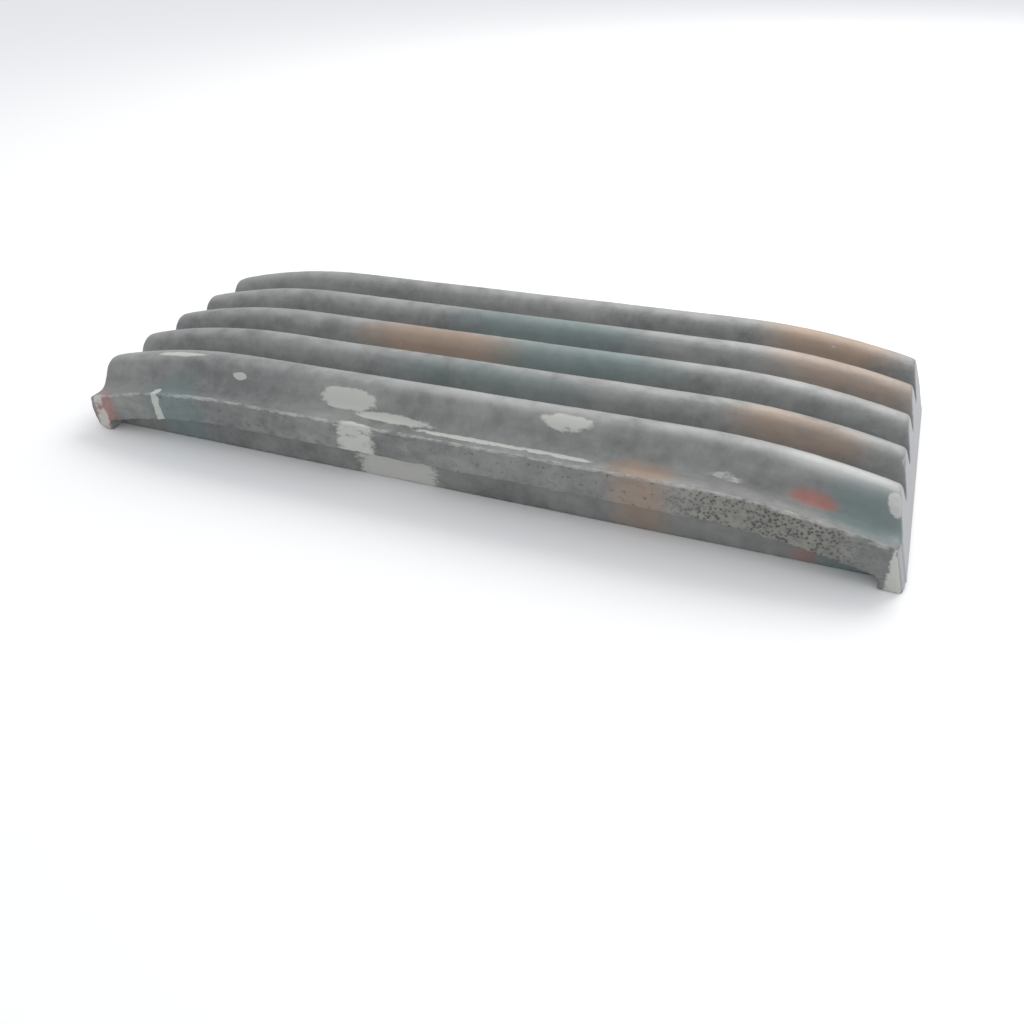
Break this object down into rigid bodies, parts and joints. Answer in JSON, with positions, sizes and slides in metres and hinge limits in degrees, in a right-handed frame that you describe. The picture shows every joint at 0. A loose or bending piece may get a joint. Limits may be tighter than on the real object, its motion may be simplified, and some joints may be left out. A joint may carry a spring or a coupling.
{
  "type": "crusher jaw plate",
  "caption": "Crowned cast jaw plate for a jaw crusher, with rounded lengthwise ribs, an outer ledge and a clamp rebate.",
  "frame": {"origin": "middle of the flat back face", "axes": "+X along the ribs, +Z out of the crushing face, -Y towards the outer edge with the ledge"},
  "size_m": [1.272, 0.48, 0.1399],
  "materials": {
    "cast_steel": "as-cast manganese steel, satin rough, weathered"
  },
  "bodies": {
    "root": {"jaw_plate": "cast_steel"}
  },
  "joints": []
}
